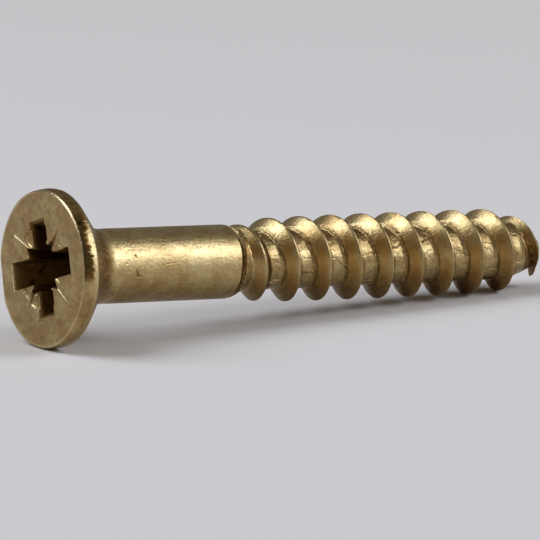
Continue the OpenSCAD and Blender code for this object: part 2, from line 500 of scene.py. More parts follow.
@dataclass
class Head:
    """The countersunk head, from the middle of its recess to the end of the fillet.

    Lengths are in millimetres and angles in degrees; a `turn` is a direction about the axis.

    Attributes:
        face_d: Diameter of the rim.
        rim_h: Height of the rim, with its edge.
        rim_uneven: How much the rim's height varies round the head.
        rim_thick_turn: Where the rim is thickest.
        edge: How far the rim's edge slants in, on the side where it slants most.
        edge_h: Height of that slant.
        slant_turn: Where it slants most.
        dark_full: Angle on either side of there, over which the slant is painted black as shade.
        dark_end: Angle at which the black has ended.
        lower_turn: Where the rim is painted darker brown, as shade, at its lower side.
        fall: How far the face's edge has sunk, where it sank most.
        fall_turn: Where it sank most.
        cone_angle: Angle across the cone.
        fillet: Radius of the fillet between the cone and the shank.
        shank_d: Diameter of the shank.
        dent_depth: Depth of the flat that a knock has left on the rim.
        dent_turn: Where that flat is.
        recess_turn: Direction of the recess's first wing.
        wing_w: Width of a wing.
        wing_lean: How far a wing's end leans in.
        wall_lean: How far a wing's side leans in.
        bevel: Bevel of the wings' sides, at the flat face.
        bevel_depth: Depth of that bevel.
        recess_depth: Depth of the recess's floor.
        mouth: Distance along a wing at which its side starts.
        notch: Distance from the middle to the point of a corner notch.
        pit_d: Diameter of the pit's mouth.
        pit_depth: Depth of the pit below the floor.
        end_cols: Columns over half of a wing's end.
        side_cols: Columns over one side of a wing.
        notch_cols: Columns over one side of a corner notch.
        wall_rows: Rings from the floor to the bevel.
        face_rows: Rings from the recess to the rim.
        grain: The unevenness of the metal.
        ends: The wings' ends, in the order of `Wing`.
        strokes: Scratches and burrs on the face.
        pinches: Where the face is pulled in beside the wings.
    """

    face_d: float = 6.5
    rim_h: float = 0.66
    rim_uneven: float = 0.05
    rim_thick_turn: float = 150.0
    edge: float = 0.12
    edge_h: float = 0.4
    slant_turn: float = 62.0
    dark_full: float = 19.0
    dark_end: float = 33.0
    lower_turn: float = 135.0
    fall: float = 0.06
    fall_turn: float = 110.0
    cone_angle: float = 97.0
    fillet: float = 1.3
    shank_d: float = SHANK_D
    dent_depth: float = 0.12
    dent_turn: float = 254.0
    recess_turn: float = 72.0
    wing_w: float = 1.12
    wing_lean: float = 23.0
    wall_lean: float = 1.5
    bevel: float = 0.045
    bevel_depth: float = 0.2
    recess_depth: float = 2.1
    mouth: float = 0.889
    notch: float = 1.42
    pit_d: float = 1.5
    pit_depth: float = 0.45
    end_cols: int = 12
    side_cols: int = 20
    notch_cols: int = 16
    wall_rows: int = 12
    face_rows: int = 44
    grain: Grain = field(default_factory=lambda: Grain(11))
    ends: tuple[WingEnd, ...] = (
        WingEnd(reach=2.16, dirt_and_shade=0.1),
        WingEnd(reach=1.98, dirt_and_shade=0.65),
        WingEnd(reach=2.23, flare=0.13, clean=-0.1, dirt_and_shade=1.3),
        WingEnd(reach=1.99, flare=0.11, clean=0.12, dirt_and_shade=1.05),
    )
    strokes: tuple[Stroke, ...] = (
        Stroke((-1.8, -1.7), (-0.62, -0.88), width=0.16, taper=0.45, depth=0.055),
        Stroke((0.95, -0.83), (1.72, -1.52), width=0.3, taper=0.12, depth=0.1, wear_and_highlight=0.0, grime=2.4),
        Stroke((1.0, 0.92), (1.76, 1.71), width=0.12, taper=0.5, depth=0.045),
        Stroke((-0.88, 0.92), (-1.52, 1.64), width=0.26, taper=0.15, depth=0.09, wear_and_highlight=0.0, grime=2.2),
        Stroke((-0.5, -1.7), (-0.85, -1.6), width=0.1, depth=0.04, wear_and_highlight=0.0, grime=2.0),
        Stroke((-0.84, -1.62), (-1.08, -1.38), width=0.1, depth=0.04, wear_and_highlight=0.0, grime=2.0),
        Stroke((-1.08, -1.4), (-1.02, -1.16), width=0.08, depth=0.04, wear_and_highlight=0.0, grime=0.9),
        Stroke((-1.7, 0.62), (-1.24, 1.12), width=0.09, taper=0.8),
        Stroke((-0.84, 0.64), (-1.0, 0.82), width=0.2, taper=0.6, depth=-0.09, wear_and_highlight=1.4),
        Stroke((-0.96, 0.8), (-1.22, 1.09), width=0.1, wear_and_highlight=1.2),
        Stroke((-0.68, 0.98), (-0.7, 1.66), width=0.16, taper=0.7, depth=-0.08, wear_and_highlight=1.4),
        Stroke((-0.54, 1.0), (-1.1, 1.32), width=0.06, wear_and_highlight=0.7),
        Stroke((-1.1, 1.34), (-0.58, 1.64), width=0.15, taper=0.9, wear_and_highlight=1.2),
        Stroke((-0.66, 1.64), (-0.7, 2.02), width=0.1, taper=0.9, depth=-0.05),
        Stroke((-0.6, 2.16), (-0.1, 2.05), width=0.1, depth=-0.05),
        Stroke((-2.27, -0.45), (-2.29, 0.62), width=0.11, taper=1.0, depth=-0.012, wear_and_highlight=1.4),
        Stroke((1.4, -0.82), (1.72, -0.56), width=0.18, taper=0.8, depth=0.05, wear_and_highlight=0.6),
    )
    pinches: tuple[Pinch, ...] = (
        Pinch(Wing.LEFT, -1, near=0.78, far=1.67, tip=1.23, off=0.54, depth=0.09),
        Pinch(Wing.DOWN, 1, near=1.0, far=1.64, tip=1.32, off=0.55, depth=0.1),
        Pinch(Wing.UP, -1, near=0.9, far=1.68, tip=1.4, off=0.5, depth=0.08),
        Pinch(Wing.LEFT, 1, near=0.9, far=1.66, tip=1.3, off=0.45, depth=0.07),
        Pinch(Wing.UP, 1, near=1.0, far=1.75, tip=1.35, off=0.45, depth=0.06),
        Pinch(Wing.RIGHT, -1, near=1.0, far=1.75, tip=1.5, off=0.35, depth=0.06),
        Pinch(Wing.RIGHT, 1, near=0.95, far=1.7, tip=1.3, off=0.35, depth=0.06),
        Pinch(Wing.DOWN, -1, near=0.95, far=1.7, tip=1.2, off=0.4, depth=0.05),
    )

    @property
    def half_cols(self) -> int:
        """Columns in half a wing."""
        return self.end_cols + self.side_cols + self.notch_cols

    @property
    def cols(self) -> int:
        """Columns all round the face."""
        return 8 * self.half_cols

    def columns(self, count: int) -> np.ndarray:
        """Angles about the axis of `count` even columns, from the recess's first wing."""
        return np.arange(count) * (2 * math.pi / count) + math.radians(self.recess_turn)

    def per_column(self, value: str) -> np.ndarray:
        """One of the wing ends' sizes, for every column.

        Args:
            value: Name of the size.

        Returns:
            The size of the wing that each column belongs to.
        """
        sizes = np.array([getattr(end, value) for end in self.ends])
        first = np.arange(self.cols) + self.half_cols
        return sizes[(first // (2 * self.half_cols)) % 4]

    def outline(self, reach: np.ndarray, pull: float = 0.0) -> np.ndarray:
        """The recess's outline in a plane square to the axis.

        Half a wing is half its straight end, then a straight side down to the mouth
        between two wings, then one side of the corner notch out to its point. The other
        half mirrors it, and the four wings are a quarter turn apart.

        Args:
            reach: Distance of the wing's end from the middle, for every column.
            pull: How far the sides stand in from their place at the flat face.

        Returns:
            One point for every column, in the recess's own directions.
        """
        half_w = self.wing_w / 2 - pull
        index = np.arange(self.cols) + self.half_cols
        within = index % (2 * self.half_cols) - self.half_cols
        step, hand = np.abs(within), np.sign(within) + (within == 0)
        mouth = self.mouth - pull
        tip = (self.notch - pull) / math.sqrt(2.0)
        across = np.clip(step / self.end_cols, 0.0, 1.0)
        down = np.clip((step - self.end_cols) / self.side_cols, 0.0, 1.0)
        out = np.clip((step - self.end_cols - self.side_cols) / self.notch_cols, 0.0, 1.0)
        x = reach + (mouth - reach) * down + (tip - mouth) * out
        y = half_w * across + (tip - half_w) * out
        quarter = (index // (2 * self.half_cols)) * (math.pi / 2)
        y = y * hand
        return np.stack((x * np.cos(quarter) - y * np.sin(quarter),
                         x * np.sin(quarter) + y * np.cos(quarter)), axis=-1)

    @staticmethod
    def away(outline: np.ndarray) -> np.ndarray:
        """Directions square to a closed outline, away from what it encloses.

        Each is the sum of the unit normals of the two edges that meet there, made one long.

        Args:
            outline: Points round the outline.

        Returns:
            One direction for every point.
        """
        edge = np.roll(outline, -1, axis=0) - outline
        normal = np.stack((edge[:, 1], -edge[:, 0]), axis=-1)
        normal /= np.linalg.norm(normal, axis=1, keepdims=True)
        both = normal + np.roll(normal, 1, axis=0)
        return both / np.linalg.norm(both, axis=1, keepdims=True)

    def relief(self, flat: np.ndarray) -> tuple[np.ndarray, np.ndarray]:
        """Depth of the flat face below its plane, and how torn the metal is.

        The depth is the sum of the strokes, the pinches and a slow unevenness, and torn metal
        is rough.

        Args:
            flat: Points of the face, in the recess's own directions.

        Returns:
            The depth and how torn the metal is.
        """
        x, y = flat[..., 0], flat[..., 1]
        space = np.stack((x, y, np.zeros_like(x)), axis=-1)
        depth = 0.006 * self.grain.at(space, 1.7) + 0.003 * self.grain.at(space + 9.0, 0.5)
        torn = np.zeros_like(x)
        for cut in self.strokes:
            depth += cut.sunk(x, y)
        ragged = 0.03 * self.grain.at(space, 0.16)
        for pinch in self.pinches:
            sunk, lip, rough = pinch.shape(x, y, self.wing_w / 2, ragged)
            depth += sunk
            depth -= lip
            torn = np.maximum(torn, rough)
        depth += 0.012 * torn * self.grain.layered(space, 0.14)
        return depth, torn

    def rim_limit(self, turn: np.ndarray) -> np.ndarray:
        """Distance from the axis to the flat that a knock has left on the rim.

        The flat is a plane, so the distance is its depth from the axis over the cosine of
        the angle from its direction, and it counts only on its own side.

        Args:
            turn: Angles about the axis, in radians.

        Returns:
            The largest radius at each angle.
        """
        towards = facing(turn, self.dent_turn)
        flat = (self.face_d / 2 - self.dent_depth) / np.maximum(towards, 0.5)
        arc = np.stack((3.0 * turn, turn * 0.0, turn * 0.0), axis=-1)
        return flat + 0.012 * self.grain.at(arc, 0.25)

    def slant(self, turn: np.ndarray) -> np.ndarray:
        """Share of the rim's slant that is there: all on the fallen side, little opposite.

        Args:
            turn: Angles about the axis, in radians.

        Returns:
            The share at each angle.
        """
        return 0.25 + 0.75 * smoothstep(-0.3, 0.4, facing(turn, self.slant_turn))

    def fallen(self, turn: np.ndarray) -> np.ndarray:
        """How far the face's edge has sunk on one side, from the stamping.

        It is half a wave round the screw, and nothing on the other side.

        Args:
            turn: Angles about the axis, in radians.

        Returns:
            Depth of the edge below the plane of the face.
        """
        return self.fall * np.maximum(facing(turn, self.fall_turn), 0.0)

    def turned(self, flat: np.ndarray, depth: np.ndarray) -> np.ndarray:
        """Turns points from the recess's own directions into the screw's frame.

        Args:
            flat: Points of the face, in the recess's own directions.
            depth: Their depth below the flat face.

        Returns:
            Points in the screw's frame.
        """
        c, s = math.cos(math.radians(self.recess_turn)), math.sin(math.radians(self.recess_turn))
        x, y = flat[..., 0], flat[..., 1]
        return np.stack((c * x - s * y, s * x + c * y, depth), axis=-1)

    def marks(self) -> list[tuple[np.ndarray, np.ndarray, Stroke]]:
        """The strokes with both ends in the screw's frame."""
        return [(self.turned(np.array(cut.start), np.zeros(())),
                 self.turned(np.array(cut.end), np.zeros(())), cut) for cut in self.strokes]

    def add_recess(self, skin: Skin) -> np.ndarray:
        """Adds the pit, the floor and the walls of the recess.

        The walls follow the outline as it shrinks with depth: past a bevel at the flat
        face, the wings' ends lean in by `wing_lean` and the sides by `wall_lean`. The floor
        shrinks from that outline to the round mouth of the conical pit.

        Args:
            skin: The skin to add to.

        Returns:
            The rings of the recess, from the pit outwards.
        """
        reach, flare = self.per_column("reach"), self.per_column("flare")
        lean, draft = math.tan(math.radians(self.wing_lean)), math.tan(math.radians(self.wall_lean))
        rows, depths = [], []
        for share in np.linspace(1.0, 0.0, self.wall_rows):
            past = (self.recess_depth - self.bevel_depth) * share**1.5
            rows.append(self.outline(reach - flare - past * lean, self.bevel + past * draft))
            depths.append(np.full(self.cols, self.bevel_depth + past))
        eased = 0.45
        rows.append(self.outline(reach - eased * flare, eased * self.bevel))
        depths.append(np.full(self.cols, eased * self.bevel_depth))
        floor_line, floor_depth = rows[0], depths[0]
        turn = np.arctan2(floor_line[:, 1], floor_line[:, 0])
        round_line = self.pit_d / 2 * np.stack((np.cos(turn), np.sin(turn)), axis=-1)
        pit = [(k * round_line, self.recess_depth + self.pit_depth * (1.0 - k))
               for k in (0.12, 0.4, 0.7, 0.94)]
        floor = [((1 - k) * round_line + k * floor_line, floor_depth + 0.02 * (1 - k))
                 for k in (0.0, 0.35, 0.7, 0.97)]
        line = np.stack([p for p, _ in pit + floor] + rows)
        deep = np.stack([np.broadcast_to(d, self.cols) for _, d in pit + floor] + depths)
        space = self.turned(line, deep)
        rough = self.grain.layered(space, 0.35)
        fade = smoothstep(0.0, 0.4, deep)
        line = line * (1.0 + 0.012 * (rough * fade)[..., None])
        # Painted shade: below each wing's depth the walls and the floor darken, by each wing's amount
        # plus noise, black past 1; the pit's bottom point is painted in shade too.
        clean = self.per_column("clean")
        grime = smoothstep(clean, clean + 0.16, deep) * (self.per_column("dirt_and_shade") + 0.25 * rough)
        pole = skin.add(self.turned(np.zeros((1, 2)), np.full(1, self.recess_depth + self.pit_depth)),
                        grime=0.6)
        # The recess's walls carry a painted amber reflection of the brass in itself, and grow
        # smoother deeper down.
        rings = skin.add(self.turned(line, deep), grime=grime, torn=0.5 * fade,
                         amber=0.5 * smoothstep(0.06, 0.3, deep),
                         polish=0.5 * smoothstep(0.1, 0.5, deep))
        skin.close(rings[0], int(pole[0]), ends=False)
        skin.knit(rings)
        return rings

    def add_face(self, skin: Skin) -> np.ndarray:
        """Adds the flat face, from the recess's edge to the start of the rim's edge.

        Every column runs straight from the recess's outline to the rim's circle, where the
        columns are evenly spaced. The depth comes from `relief`, and near the rim from
        `fallen`.

        Args:
            skin: The skin to add to.

        Returns:
            The rings of the face, from the recess outwards.
        """
        inner = self.outline(self.per_column("reach"))
        away = self.away(inner)
        start = inner + 0.03 * away
        turn = np.arange(self.cols) * (2 * math.pi / self.cols)
        real_turn = self.columns(self.cols)
        limit = np.minimum(self.face_d / 2, self.rim_limit(real_turn))
        limit = limit - self.edge * self.slant(real_turn)
        circle = limit[:, None] * np.stack((np.cos(turn), np.sin(turn)), axis=-1)
        share = np.linspace(0.0, 1.0, self.face_rows)[:, None, None] ** 1.15
        line = start + share * (circle - start)
        line = np.concatenate((inner[None], (inner + 0.01 * away)[None], line))
        depth, torn = self.relief(line)
        # The recess's edge is eased over the first two rings.
        depth[0] += 0.03
        depth[1] += 0.008
        radius = np.linalg.norm(line, axis=-1)
        depth += self.fallen(real_turn) * smoothstep(1.9, 3.1, radius) ** 2
        # The face's outer edge is polished; its wear colour there is partly real wear, partly a
        # painted highlight.
        rings = skin.add(self.turned(line, depth), torn=torn, face=1.0,
                         polish=smoothstep(3.07, 3.13, radius))
        skin.knit(rings)
        return rings

    def flank_line(self) -> tuple[np.ndarray, np.ndarray]:
        """The half section from the rim's edge to the end of the fillet.

        It is a small chamfer, a slant from there out to the rim's full diameter, the rim
        with its back corner eased, the cone's line, and an arc that meets the cone and the
        shank.

        Returns:
            Radii and heights of the rings.
        """
        face_r, shank_r = self.face_d / 2, self.shank_d / 2
        half = math.radians(self.cone_angle / 2)
        meets = self.rim_h + (face_r - shank_r) / math.tan(half)
        fillet_end = meets + self.fillet * math.tan(half / 2)
        arc = half * (1.0 - np.linspace(0.0, 1.0, 15))
        arc_r = shank_r + self.fillet * (1.0 - np.cos(arc))
        arc_z = fillet_end - self.fillet * np.sin(arc)
        inward, down = np.array(EDGE_SHARES).T
        edge_r, edge_z = face_r - self.edge * inward, self.edge_h * down
        rim = np.linspace(0.0, 1.0, 6)[1:]
        rim_r = face_r - 0.02 * rim**4
        rim_z = self.edge_h + (self.rim_h - self.edge_h) * rim
        cone = np.linspace(0.0, 1.0, 12)[1:-1]
        radii = (edge_r, rim_r, rim_r[-1] + (arc_r[0] - rim_r[-1]) * cone, arc_r)
        heights = (edge_z, rim_z, self.rim_h + (arc_z[0] - self.rim_h) * cone, arc_z)
        return np.concatenate(radii), np.concatenate(heights)

    def uneven(self, turn: np.ndarray, r: np.ndarray, z: np.ndarray
               ) -> tuple[np.ndarray, np.ndarray]:
        """Bends the half section as it goes round the head.

        The slant fades away from its side, the rim is thicker on one side, the edge follows
        the fallen face, the knocked flat caps the radius, and the metal is a little uneven.

        Args:
            turn: Angles about the axis, in radians.
            r: Radii of the half section.
            z: Its heights.

        Returns:
            Radii and heights, for each ring and each angle.
        """
        face_r = self.face_d / 2
        share = np.where(z <= self.edge_h, self.slant(turn), 1.0)
        r = face_r - (face_r - r) * share
        cap = self.rim_limit(turn) - (face_r - r) * (z <= self.edge_h)
        z = z * np.where(z < self.edge_h, share, 1.0)
        thick = self.rim_uneven * (0.5 + facing(turn, self.rim_thick_turn))
        z = (z + thick * smoothstep(0.2, self.rim_h, z) * smoothstep(2.0, self.rim_h, z)
             + self.fallen(turn) * smoothstep(self.edge_h, 0.0, z))
        rough = smoothstep(0.06, 0.3, z) * self.grain.layered(around(3.0, turn, z), 0.5)
        return np.minimum(r + 0.006 * (rough - 1.0), cap), z

    def flank_marks(self, turn: np.ndarray, z: np.ndarray) -> dict[str, np.ndarray]:
        """Marks of the rim, the cone and the fillet, streaked from the head to the point.

        The slant is painted black on its own side as painted shade, with a ragged end, and the rim
        past it is polished, with a painted highlight. The rim is painted darker brown above and at
        the lower side as painted shade, and the cone is painted with shade in streaks.

        Args:
            turn: Angles about the axis, in radians.
            z: Heights of the points.

        Returns:
            How dark it is painted, how torn and how polished the metal is.
        """
        space = around(3.0, turn, z)
        streaked = space * np.array((1.0, 1.0, 0.15))
        streak = self.grain.layered(space * np.array((1.0, 1.0, 0.18)), 0.22)
        fine = self.grain.layered(streaked, 0.13)
        aside = np.abs((np.degrees(turn) - self.slant_turn + 180.0) % 360.0 - 180.0)
        ragged = z + 0.2 * self.grain.layered(streaked, 0.1) + 0.13 * bell(aside, 10.0)
        # Painted shade: the cone and the fillet under the head are darkened, in streaks.
        cone = band(z, 0.6, 0.9, 2.1, 2.7)
        # Painted shade: the slant is black on its own side of the head, with a ragged end.
        slant = smoothstep(0.03, 0.08, z) * smoothstep(0.52, 0.4, ragged)
        side = smoothstep(self.dark_end, self.dark_full, aside + 5.0 * streak) * (0.9 + 0.2 * fine)
        # Painted shade: the rim is darker brown at its top and at its lower side.
        above = smoothstep(0.0, 0.7, np.cos(turn)) * smoothstep(0.05, 0.2, z)
        below = 0.45 * smoothstep(0.6, 0.9, facing(turn, self.lower_turn))
        grime = np.maximum(0.9 * cone * smoothstep(-0.9, 0.1, streak), 1.9 * slant * side)
        brown = np.maximum(above, below) * smoothstep(0.8, 0.6, z) * (0.8 + 0.3 * streak)
        # Polished: the edge's top and the rim past the slant, widened round the slant's side; their
        # wear colour is partly real wear, partly a painted highlight.
        rim = 0.75 * smoothstep(0.44, 0.54, ragged) * smoothstep(0.8, 0.7, z)
        return {"grime": np.maximum(grime, brown), "torn": np.maximum(0.6 * cone, slant),
                "polish": np.maximum(smoothstep(0.14, 0.06, z), rim)}

    def add_flank(self, skin: Skin) -> tuple[np.ndarray, np.ndarray]:
        """Adds the rim's edge with the face's columns, and the rest with half of them.

        Args:
            skin: The skin to add to.

        Returns:
            The edge's rings, and the rings of the rim, the cone and the fillet.
        """
        radii, heights = self.flank_line()
        edge_rows = len(EDGE_SHARES)
        rings = []
        for cols, rows in ((self.cols, slice(0, edge_rows)),
                           (self.cols // 2, slice(edge_rows, None))):
            turn = self.columns(cols)
            r, z = self.uneven(turn, radii[rows, None], heights[rows, None])
            rings.append(skin.add(around(r, turn, z), **self.flank_marks(turn, z)))
        skin.knit(rings[0])
        skin.halve(rings[0][-1], rings[1][0])
        skin.knit(rings[1])
        return rings[0], rings[1]

    def build(self, skin: Skin) -> np.ndarray:
        """Adds the whole head.

        Args:
            skin: The skin to add to.

        Returns:
            The ring at the end of the fillet.
        """
        recess = self.add_recess(skin)
        face = self.add_face(skin)
        skin.knit(np.stack((recess[-1], face[0])))
        edge, flank = self.add_flank(skin)
        skin.knit(np.stack((face[-1], edge[0])))
        LOG.info("head: recess of %d rings, face of %d, flank of %d",
                 len(recess), len(face), len(flank))
        return flank[-1]


# ----------------------------------------------------------------------------------------
# Shank and thread
# ----------------------------------------------------------------------------------------


@dataclass(frozen=True)
class Groove:
    """A fine groove rolled round the shank's end, or a ridge between two.

    Attributes:
        z: Its height along the axis.
        depth: Its depth; a ridge has one below 0.
        width: Width of its bell.
        sway: How much of the shared waver it follows.
    """

    z: float
    depth: float
    width: float
    sway: float


@dataclass
class Shank:
    """The plain shank, from the end of the fillet to the rings where the thread was rolled.

    Lengths are in millimetres.

    Attributes:
        shank_d: Its diameter.
        starts: Where the fillet ends.
        ends: Where it starts to lean in.
        end_lean: How far it leans in there, in degrees.
        rings_end: Where the thread's rows take over.
        step: Length of the closely ringed stretch before `ends`.
        smooth_rows: Rings along the plain stretch.
        ring_rows: Rings along the closely ringed stretch.
        grooves: The grooves and the ridge at its end.
        grain: The unevenness of the metal.
        strokes: Nicks and scratches on it.
    """

    shank_d: float = SHANK_D
    starts: float = 2.758
    ends: float = 8.85
    end_lean: float = 21.0
    rings_end: float = 9.02
    step: float = 0.12
    smooth_rows: int = 26
    ring_rows: int = 10
    grooves: tuple[Groove, ...] = (
        Groove(z=8.86, depth=0.1, width=0.052, sway=1.0),
        Groove(z=9.01, depth=0.09, width=0.048, sway=1.5),
        Groove(z=8.935, depth=-0.02, width=0.025, sway=1.2),
    )
    grain: Grain = field(default_factory=lambda: Grain(23))
    strokes: tuple[Stroke, ...] = (
        Stroke((87.0, 3.6), (97.0, 3.67), width=0.1, taper=1.4, depth=0.02, wear_and_highlight=0.0, grime=0.8),
        Stroke((97.0, 3.64), (98.5, 3.95), width=0.14, depth=0.02, wear_and_highlight=0.0, grime=1.0),
        Stroke((64.0, 3.58), (68.0, 3.62), width=0.12, depth=0.02, wear_and_highlight=0.0, grime=1.0),
        Stroke((119.0, 2.42), (126.0, 2.6), width=0.14, depth=0.02, wear_and_highlight=0.0, grime=0.8),
        Stroke((128.0, 2.66), (132.0, 2.82), width=0.14, depth=0.02, wear_and_highlight=0.0, grime=0.8),
        Stroke((81.0, 5.02), (78.0, 5.67), width=0.08, depth=0.01, wear_and_highlight=0.0, grime=0.6),
        Stroke((78.0, 3.06), (77.0, 3.24), width=0.1, depth=0.01, wear_and_highlight=0.0, grime=0.7),
        Stroke((72.0, 6.6), (74.0, 6.85), width=0.1, depth=-0.01, wear_and_highlight=0.8),
    )

    def marks(self) -> list[tuple[np.ndarray, np.ndarray, Stroke]]:
        """The strokes with both ends in the screw's frame."""
        return [(self.on_skin(*cut.start), self.on_skin(*cut.end), cut) for cut in self.strokes]

    def on_skin(self, degrees: float, z: float) -> np.ndarray:
        """A point on the shank, from its angle about the axis and its height."""
        turn = math.radians(degrees)
        return np.array((math.cos(turn), math.sin(turn), 0.0)) * self.shank_d / 2 + (0.0, 0.0, z)

    def radius(self, z: np.ndarray) -> np.ndarray:
        """The shank's radius: level, then leaning in past its end.

        Args:
            z: Heights along the axis.

        Returns:
            The radius at each height.
        """
        past = np.maximum(z - self.ends, 0.0)
        return self.shank_d / 2 - past * math.tan(math.radians(self.end_lean))

    def step_rings(self, z: np.ndarray, turn: np.ndarray) -> np.ndarray:
        """Depth of the grooves rolled round the end of the shank.

        Each is a bell across, and all waver along the round.

        Args:
            z: Heights along the axis.
            turn: Angles about the axis, in radians.

        Returns:
            Depth at each point.
        """
        waver = 0.03 * self.grain.at(around(1.0, turn, 0.0 * turn), 0.6)
        return sum(g.depth * bell(z - g.z - g.sway * waver, g.width) for g in self.grooves)

    def build(self, skin: Skin, turn: np.ndarray) -> np.ndarray:
        """Adds the shank.

        Args:
            skin: The skin to add to.
            turn: Angle of each column about the axis, in radians.

        Returns:
            The shank's rings.
        """
        ringed = self.ends - self.step
        z = np.concatenate((np.linspace(self.starts, ringed, self.smooth_rows)[1:],
                            np.linspace(ringed, self.rings_end, self.ring_rows)[1:]))[:, None]
        r = self.radius(z)
        drawn = around(r, turn, z) * np.array((1.0, 1.0, 0.35))
        held = smoothstep(self.starts, 3.1, z)
        dip = self.step_rings(z, turn)
        r = r + 0.004 * held * self.grain.layered(drawn, 0.5) - dip
        # Painted shade: the shank is darker on its underside and in its rolled grooves.
        under = 0.5 * smoothstep(-0.1, 1.0, -np.cos(turn))
        darkened = np.clip(dip / 0.05, 0.0, 1.0) * 1.3
        rings = skin.add(around(r, turn, z), grime=np.maximum(darkened, under), torn=0.4)
        skin.knit(rings)
        LOG.info("shank: %d rings", len(rings))
        return rings


@dataclass
class Thread:
    """The rolled thread, the core between its turns, and the blunt point.

    A number of turns t counts from where the thread rises; the crest stands at the angle
    `thread_turn` + 360 t about the axis. Lengths are in millimetres, angles in degrees.

    Attributes:
        shank: The shank that it rises from.
        thread_d: Diameter over the full crests.
        first_crest_d: Diameter over the first crest.
        core_d: Diameter of the core between the crests.
        pitch: Distance from one crest to the next.
        head_flank_angle: Slope of the flanks that look at the head.
        point_flank_angle: Slope of the flanks that look at the point.
        crest_w: Width of the crest.
        starts: Where the thread rises.
        ends: Where it breaks off.
        rise_turns: Turns over which it rises.
        grow_turns: Turns over which its crests grow to the full ones.
        thread_turn: Direction in which it starts.
        length: Length of the screw.
        point_angle: Angle across the point's cone.
        point_from: Where the point's cone starts.
        point_round: Radius of the point's edge.
        run_out: Length by which the last half turn is drawn out.
        last_crest_d: Diameter over the last crest.
        crest_fall_angle: Angle across the cone that the last crests follow.
        chip: Depth of the chip in the last crest.
        chip_turns: How far before the break it lies, in turns.
        cap_from: Where even rings take over, for the point's end.
        slope_turns: Turns over which the flanks change from a full width to a full slope.
        square_turns: Turns over which the flank at the break becomes almost square.
        shade_turn: Direction in which the roots carry painted shadow.
        reflection_turn: Direction in which the flanks' feet carry a painted amber reflection.
        unrolled: Length of one turn of the root, laid flat.
        groove_at: Where the groove runs, as a share of the pitch.
        fold_at: Where the fold lies.
        lip_at: Where the lip lies.
        flat_count: Number of torn flats in one turn.
        grain: The unevenness of the metal.
    """

    shank: Shank
    thread_d: float = 3.6
    first_crest_d: float = 3.44
    core_d: float = 2.42
    pitch: float = 1.562
    head_flank_angle: float = 42.0
    point_flank_angle: float = 38.0
    crest_w: float = 0.06
    starts: float = 9.1
    ends: float = 24.55
    rise_turns: float = 1.6
    grow_turns: float = 5.5
    thread_turn: float = -99.0
    length: float = 24.88
    point_angle: float = 40.0
    point_from: float = 23.21
    point_round: float = 0.6
    run_out: float = 0.18
    last_crest_d: float = 2.28
    crest_fall_angle: float = 35.0
    chip: float = 0.17
    chip_turns: float = 0.15
    cap_from: float = 24.5
    slope_turns: tuple[float, float] = (6.5, 8.0)
    square_turns: tuple[float, float] = (9.2, 9.7)
    shade_turn: float = 34.0
    reflection_turn: float = 88.0
    unrolled: float = 7.5
    groove_at: float = 0.702
    fold_at: float = 0.745
    lip_at: float = 0.315
    flat_count: float = 6.3
    grain: Grain = field(default_factory=lambda: Grain(37))

    @property
    def turns(self) -> float:
        """Turns from where the thread rises to where it breaks off."""
        return (self.ends - self.run_out - self.starts) / self.pitch

    @property
    def depth(self) -> float:
        """Height of the full crests over the core."""
        return (self.thread_d - self.core_d) / 2

    def crest_z(self, t: np.ndarray) -> np.ndarray:
        """Height of the crest after t turns, its last half turn drawn out.

        It is `starts` + `pitch` t, plus `run_out` times 1 - (1 - s)^2, where s rises from
        0 to 1 over the last half turn.

        Args:
            t: Numbers of turns.

        Returns:
            Heights along the axis.
        """
        drawn = np.clip(1.0 - 2.0 * (self.turns - t), 0.0, 1.0)
        return self.starts + self.pitch * t + self.run_out * (1.0 - (1.0 - drawn) ** 2)

    def crest_r(self, t: np.ndarray) -> np.ndarray:
        """Radius of the crest: a sine's growth to the full crests, then a cone's fall.

        Just before the break, a chip has left it lower: a bell along the crest.

        Args:
            t: Numbers of turns.

        Returns:
            Radii of a crest that stands in full.
        """
        grown = np.sin(0.5 * math.pi * np.clip(t / self.grow_turns, 0.0, 1.0))
        body = (self.first_crest_d + (self.thread_d - self.first_crest_d) * grown) / 2
        fall = math.tan(math.radians(self.crest_fall_angle / 2))
        whole = np.minimum(body, self.last_crest_d / 2 + (self.ends - self.crest_z(t)) * fall)
        return whole - self.chip * bell(t - self.turns + self.chip_turns, 0.075)

    def share(self, t: np.ndarray) -> np.ndarray:
        """Share of the thread's height that stands after t turns.

        Args:
            t: Numbers of turns.

        Returns:
            A rise along an arc from 0 to 1, and 0 past the break.
        """
        risen = np.clip((t + self.rise_turns / 5) / self.rise_turns, 0.0, 1.0)
        return np.where(t > self.turns, 0.0, 1.0 - (1.0 - risen) ** 2)

    def core_r(self, z: np.ndarray) -> np.ndarray:
        """Radius of the core: straight, then the point's cone with a round edge.

        Args:
            z: Heights along the axis.

        Returns:
            Radii of the core.
        """
        slope = math.tan(math.radians(self.point_angle / 2))
        straight = self.core_d / 2 - np.maximum(z - self.point_from, 0.0) * slope
        part = np.clip((z - self.length) / self.point_round + 1.0, 0.0, 1.0)
        return straight - self.point_round * (1.0 - np.sqrt(1.0 - part**2))

    def row_shares(self) -> np.ndarray:
        """Shares of one pitch at which the rows lie, closest at the crest and the root.

        Returns:
            Rising shares, from 0 on the crest.
        """
        crest = self.crest_w / 2 / self.pitch
        near = self.depth * math.tan(math.radians(self.point_flank_angle)) / self.pitch + crest
        far = 1.0 - self.depth * math.tan(math.radians(self.head_flank_angle)) / self.pitch - crest
        foot = far + 0.13
        return np.concatenate((
            [0.0], np.linspace(crest, near, 7)[:-1], np.linspace(near, far, 8)[:-1],
            np.linspace(far, foot, 9)[:-1], np.linspace(foot, 1.0 - crest, 7)))

    def lay(self, t: np.ndarray, s: np.ndarray) -> np.ndarray:
        """The root laid flat: points along it, across it, and 0."""
        return np.stack(np.broadcast_arrays(self.unrolled * t, self.pitch * s, 0.0), axis=-1)

